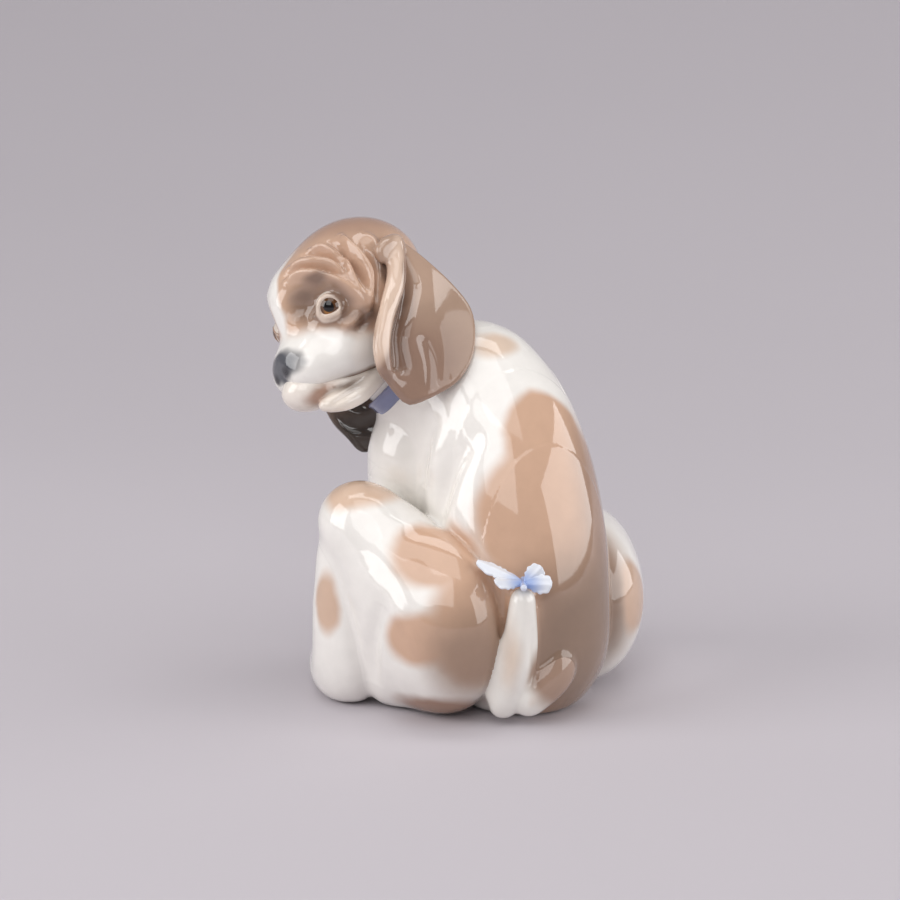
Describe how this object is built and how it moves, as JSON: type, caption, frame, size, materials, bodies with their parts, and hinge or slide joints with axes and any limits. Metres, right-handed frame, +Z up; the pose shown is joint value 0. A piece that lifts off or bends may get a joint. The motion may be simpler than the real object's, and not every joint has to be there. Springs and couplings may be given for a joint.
{
  "type": "sitting dog figurine",
  "caption": "Glazed porcelain puppy sitting on a flat base plate, looking back over its shoulder at a butterfly on the tip of its tail",
  "frame": {"origin": "centre of the lower face of the base plate, on the surface the figurine stands on", "axes": "+Z up; the chest faces -Y; +X is the puppy's left side, the side its head is turned to"},
  "size_m": [0.1097, 0.0994, 0.136],
  "materials": {
    "painted_body": "white porcelain with soft tan patches under a clear glaze",
    "painted_head": "taupe crown and cheeks with a white muzzle under a clear glaze",
    "white_glaze": "clear glaze over white porcelain",
    "brown_glaze": "clear glaze over brushed brown colour",
    "blue_glaze": "clear glaze over pale blue colour",
    "eye_enamel": "gloss over amber and black colour",
    "bare_porcelain": "unglazed, wiped smooth"
  },
  "bodies": {
    "root": {"body_shell": "painted_body", "base_plate": "bare_porcelain", "collar": "blue_glaze", "head_shell": "painted_head", "lower_jaw": "white_glaze", "left_eye": "eye_enamel", "right_eye": "eye_enamel", "left_ear": "brown_glaze", "right_ear": "brown_glaze", "left_thigh": "painted_body", "right_thigh": "painted_body", "left_hind_foot": "white_glaze", "right_hind_foot": "white_glaze", "left_foreleg": "white_glaze", "right_foreleg": "white_glaze", "tail": "white_glaze", "butterfly_body": "blue_glaze", "left_forewing": "blue_glaze", "left_hindwing": "blue_glaze", "right_forewing": "blue_glaze", "right_hindwing": "blue_glaze"}
  },
  "joints": []
}
